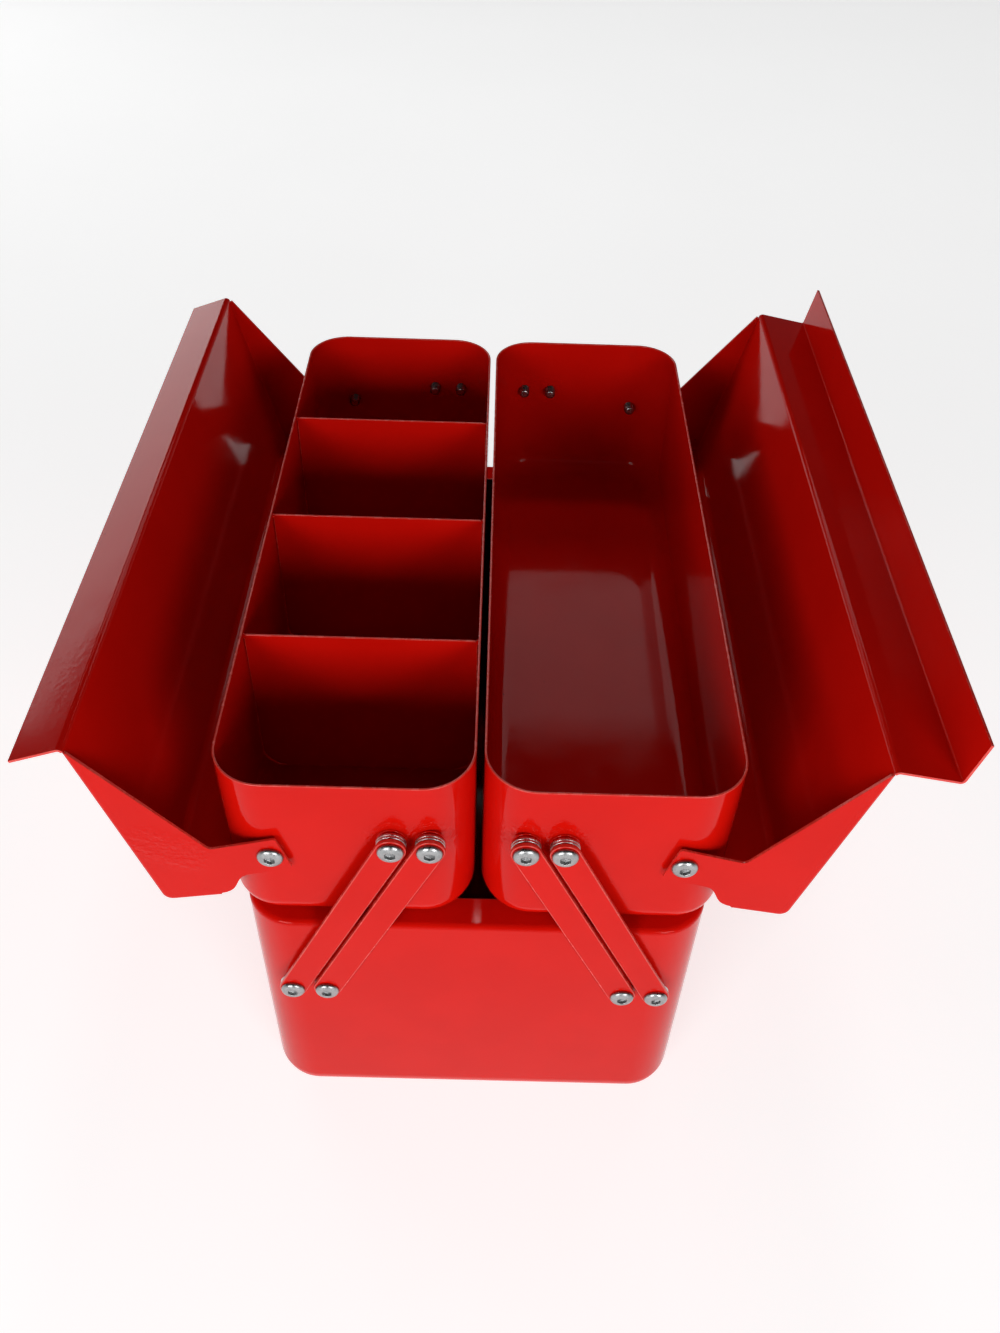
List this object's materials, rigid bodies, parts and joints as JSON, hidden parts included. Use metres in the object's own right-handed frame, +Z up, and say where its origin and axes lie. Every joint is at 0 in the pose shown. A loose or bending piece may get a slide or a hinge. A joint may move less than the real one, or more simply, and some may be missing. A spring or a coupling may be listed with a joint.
{
  "type": "cantilever toolbox with trays",
  "caption": "Sheet-steel cantilever toolbox: drawn base, two swing-out trays on parallel arms, one divided, and hinged lid halves with a lapping ridge.",
  "frame": {"origin": "middle of the flat underside of the base, on the floor", "axes": "+X from the left tray to the right tray, +Y along the box from the front end to the rear, +Z up"},
  "size_m": [0.3521, 0.3516, 0.2779],
  "materials": {
    "red_enamel": "glossy red stove enamel",
    "zinc_steel": "bright zinc-plated steel"
  },
  "bodies": {
    "base": {"base_tub": "red_enamel", "left_inner_base_screw_front": "zinc_steel", "left_inner_base_screw_rear": "zinc_steel", "left_inner_base_spacer_front": "zinc_steel", "left_inner_base_spacer_rear": "zinc_steel", "left_outer_base_screw_front": "zinc_steel", "left_outer_base_screw_rear": "zinc_steel", "left_outer_base_spacer_front": "zinc_steel", "left_outer_base_spacer_rear": "zinc_steel", "right_inner_base_screw_front": "zinc_steel", "right_inner_base_screw_rear": "zinc_steel", "right_inner_base_spacer_front": "zinc_steel", "right_inner_base_spacer_rear": "zinc_steel", "right_outer_base_screw_front": "zinc_steel", "right_outer_base_screw_rear": "zinc_steel", "right_outer_base_spacer_front": "zinc_steel", "right_outer_base_spacer_rear": "zinc_steel"},
    "left_tray": {"front_divider": "red_enamel", "left_inner_tray_screw_front": "zinc_steel", "left_inner_tray_screw_rear": "zinc_steel", "left_inner_tray_spacer_front": "zinc_steel", "left_inner_tray_spacer_rear": "zinc_steel", "left_lid_screw_front": "zinc_steel", "left_lid_screw_rear": "zinc_steel", "left_lid_spacer_front": "zinc_steel", "left_lid_spacer_rear": "zinc_steel", "left_outer_tray_screw_front": "zinc_steel", "left_outer_tray_screw_rear": "zinc_steel", "left_outer_tray_spacer_front": "zinc_steel", "left_outer_tray_spacer_rear": "zinc_steel", "left_tray": "red_enamel", "middle_divider": "red_enamel", "rear_divider": "red_enamel"},
    "left_lid": {"left_lid": "red_enamel"},
    "left_outer_arm_front": {"left_outer_arm_front": "red_enamel"},
    "left_outer_arm_rear": {"left_outer_arm_rear": "red_enamel"},
    "left_inner_arm_front": {"left_inner_arm_front": "red_enamel"},
    "left_inner_arm_rear": {"left_inner_arm_rear": "red_enamel"},
    "right_tray": {"right_inner_tray_screw_front": "zinc_steel", "right_inner_tray_screw_rear": "zinc_steel", "right_inner_tray_spacer_front": "zinc_steel", "right_inner_tray_spacer_rear": "zinc_steel", "right_lid_screw_front": "zinc_steel", "right_lid_screw_rear": "zinc_steel", "right_lid_spacer_front": "zinc_steel", "right_lid_spacer_rear": "zinc_steel", "right_outer_tray_screw_front": "zinc_steel", "right_outer_tray_screw_rear": "zinc_steel", "right_outer_tray_spacer_front": "zinc_steel", "right_outer_tray_spacer_rear": "zinc_steel", "right_tray": "red_enamel"},
    "right_lid": {"right_lid": "red_enamel"},
    "right_outer_arm_front": {"right_outer_arm_front": "red_enamel"},
    "right_outer_arm_rear": {"right_outer_arm_rear": "red_enamel"},
    "right_inner_arm_front": {"right_inner_arm_front": "red_enamel"},
    "right_inner_arm_rear": {"right_inner_arm_rear": "red_enamel"}
  },
  "joints": [
    {"name": "left_tray_swing", "type": "hinge", "parent": "base", "child": "left_outer_arm_front", "pos_m": [-0.0816, -0.1723, 0.107], "axis": [0, -1, 0], "range_deg": [0, 59]},
    {"name": "left_outer_rear_arm_turn", "type": "hinge", "parent": "base", "child": "left_outer_arm_rear", "pos_m": [-0.0816, 0.1723, 0.107], "axis": [0, -1, 0], "range_deg": [0, 59]},
    {"name": "left_inner_front_arm_turn", "type": "hinge", "parent": "base", "child": "left_inner_arm_front", "pos_m": [-0.0663, -0.1723, 0.107], "axis": [0, -1, 0], "range_deg": [0, 59]},
    {"name": "left_inner_rear_arm_turn", "type": "hinge", "parent": "base", "child": "left_inner_arm_rear", "pos_m": [-0.0663, 0.1723, 0.107], "axis": [0, -1, 0], "range_deg": [0, 59]},
    {"name": "left_tray_level", "type": "hinge", "parent": "left_outer_arm_front", "child": "left_tray", "pos_m": [-0.034, -0.1723, 0.2115], "axis": [0, -1, 0], "range_deg": [-59, 0]},
    {"name": "left_lid_close", "type": "hinge", "parent": "left_tray", "child": "left_lid", "pos_m": [-0.082, 0, 0.202], "axis": [0, 1, 0], "range_deg": [0, 101]},
    {"name": "right_tray_swing", "type": "hinge", "parent": "base", "child": "right_outer_arm_front", "pos_m": [0.0816, -0.1723, 0.107], "axis": [0, 1, 0], "range_deg": [0, 59]},
    {"name": "right_outer_rear_arm_turn", "type": "hinge", "parent": "base", "child": "right_outer_arm_rear", "pos_m": [0.0816, 0.1723, 0.107], "axis": [0, 1, 0], "range_deg": [0, 59]},
    {"name": "right_inner_front_arm_turn", "type": "hinge", "parent": "base", "child": "right_inner_arm_front", "pos_m": [0.0663, -0.1723, 0.107], "axis": [0, 1, 0], "range_deg": [0, 59]},
    {"name": "right_inner_rear_arm_turn", "type": "hinge", "parent": "base", "child": "right_inner_arm_rear", "pos_m": [0.0663, 0.1723, 0.107], "axis": [0, 1, 0], "range_deg": [0, 59]},
    {"name": "right_tray_level", "type": "hinge", "parent": "right_outer_arm_front", "child": "right_tray", "pos_m": [0.034, -0.1723, 0.2115], "axis": [0, 1, 0], "range_deg": [-59, 0]},
    {"name": "right_lid_close", "type": "hinge", "parent": "right_tray", "child": "right_lid", "pos_m": [0.082, 0, 0.202], "axis": [0, -1, 0], "range_deg": [0, 101]}
  ],
  "couplings": [
    {"joint": "left_outer_rear_arm_turn", "follows": "left_tray_swing", "ratio": 1},
    {"joint": "left_inner_front_arm_turn", "follows": "left_tray_swing", "ratio": 1},
    {"joint": "left_inner_rear_arm_turn", "follows": "left_tray_swing", "ratio": 1},
    {"joint": "left_tray_level", "follows": "left_tray_swing", "ratio": -1},
    {"joint": "right_outer_rear_arm_turn", "follows": "right_tray_swing", "ratio": 1},
    {"joint": "right_inner_front_arm_turn", "follows": "right_tray_swing", "ratio": 1},
    {"joint": "right_inner_rear_arm_turn", "follows": "right_tray_swing", "ratio": 1},
    {"joint": "right_tray_level", "follows": "right_tray_swing", "ratio": -1}
  ]
}
